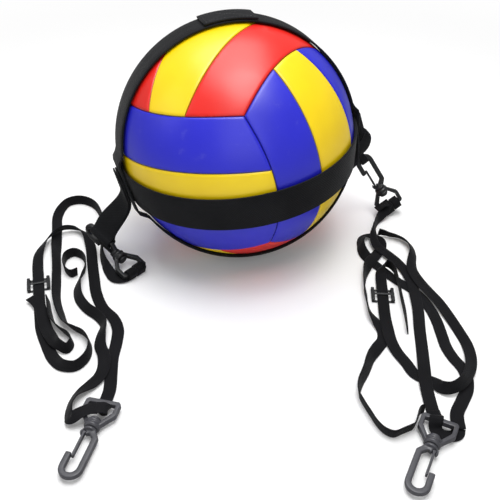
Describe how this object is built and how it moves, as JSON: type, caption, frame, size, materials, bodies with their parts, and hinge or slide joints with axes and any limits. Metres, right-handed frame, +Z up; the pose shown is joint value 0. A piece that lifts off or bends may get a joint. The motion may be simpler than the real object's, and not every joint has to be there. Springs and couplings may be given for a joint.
{
  "type": "volleyball spike trainer",
  "caption": "Volleyball in a harness of two crossed webbing bands, with folded side tabs and narrow leads that end in swivel snap hooks.",
  "frame": {"origin": "on the ground, in the middle of the small flat under the ball", "axes": "+Z up, the leads lie in front of the ball towards -Y, +X is the right of the picture"},
  "size_m": [0.3863, 0.4101, 0.215],
  "materials": {
    "panel_red": "satin synthetic leather",
    "panel_blue": "satin synthetic leather",
    "panel_yellow": "satin synthetic leather",
    "lining": "woven cotton",
    "bladder_rubber": "smooth",
    "valve_rubber": "smooth",
    "webbing": "woven webbing",
    "tape": "woven tape",
    "hook_plastic": "moulded, half matt"
  },
  "bodies": {
    "trainer": {"panel_top_1": "panel_red", "panel_top_2": "panel_yellow", "panel_top_3": "panel_red", "panel_bottom_1": "panel_red", "panel_bottom_2": "panel_yellow", "panel_bottom_3": "panel_red", "panel_right_1": "panel_blue", "panel_right_2": "panel_yellow", "panel_right_3": "panel_blue", "panel_left_1": "panel_blue", "panel_left_2": "panel_yellow", "panel_left_3": "panel_blue", "panel_front_1": "panel_blue", "panel_front_2": "panel_yellow", "panel_front_3": "panel_blue", "panel_back_1": "panel_blue", "panel_back_2": "panel_yellow", "panel_back_3": "panel_blue", "carcass_lining": "lining", "bladder": "bladder_rubber", "valve": "valve_rubber", "harness_belt": "webbing", "harness_hoop": "webbing", "hoop_lap": "webbing", "left_tab": "webbing", "right_tab": "webbing", "left_clip_frame": "hook_plastic", "left_clip_hook": "hook_plastic", "right_clip_frame": "hook_plastic", "right_clip_hook": "hook_plastic", "left_end_frame": "hook_plastic", "right_end_frame": "hook_plastic", "left_lead_main": "tape", "left_lead_back": "tape", "left_lead_fold": "tape", "right_lead_long": "tape", "right_lead_tail": "tape", "right_lead_back": "tape"},
    "left_end_hook": {"left_end_hook": "hook_plastic"},
    "right_end_hook": {"right_end_hook": "hook_plastic"},
    "left_clip_gate": {"left_clip_gate": "hook_plastic"},
    "right_clip_gate": {"right_clip_gate": "hook_plastic"},
    "left_end_gate": {"left_end_gate": "hook_plastic"},
    "right_end_gate": {"right_end_gate": "hook_plastic"},
    "left_slider": {"left_slider": "hook_plastic"},
    "right_slider": {"right_slider": "hook_plastic"}
  },
  "joints": [
    {"name": "left_end_swivel", "type": "hinge", "parent": "trainer", "child": "left_end_hook", "pos_m": [-0.10072, -0.24836, 0.0054], "axis": [-0.2198, -0.9755, 0], "continuous": true},
    {"name": "right_end_swivel", "type": "hinge", "parent": "trainer", "child": "right_end_hook", "pos_m": [0.13732, -0.26323, 0.0054], "axis": [-0.4493, -0.8934, 0], "continuous": true},
    {"name": "left_clip_gate_hinge", "type": "hinge", "parent": "trainer", "child": "left_clip_gate", "pos_m": [-0.11484, -0.05097, 0.01127], "axis": [0.6403, 0.7681, 0], "range_deg": [0, 9], "stiffness_Nm_per_rad": 0.02, "springref_deg": -8.59},
    {"name": "right_clip_gate_hinge", "type": "hinge", "parent": "trainer", "child": "right_clip_gate", "pos_m": [0.13818, 0.03352, 0.03196], "axis": [-0.2308, 0.9518, -0.2018], "range_deg": [0, 18], "stiffness_Nm_per_rad": 0.02, "springref_deg": -8.59},
    {"name": "left_end_gate_hinge", "type": "hinge", "parent": "left_end_hook", "child": "left_end_gate", "pos_m": [-0.10478, -0.25185, 0.0054], "axis": [0, 0, 1], "range_deg": [0, 18], "stiffness_Nm_per_rad": 0.02, "springref_deg": -8.59},
    {"name": "right_end_gate_hinge", "type": "hinge", "parent": "right_end_hook", "child": "right_end_gate", "pos_m": [0.13824, -0.26851, 0.0054], "axis": [0, 0, -1], "range_deg": [0, 18], "stiffness_Nm_per_rad": 0.02, "springref_deg": -8.59},
    {"name": "left_slider_slide", "type": "slide", "parent": "trainer", "child": "left_slider", "axis": [-0.2588, 0.9659, 0], "range_m": [-0.01, 0.01]},
    {"name": "right_slider_slide", "type": "slide", "parent": "trainer", "child": "right_slider", "axis": [0.0698, 0.9976, 0], "range_m": [-0.014, 0.003]}
  ]
}
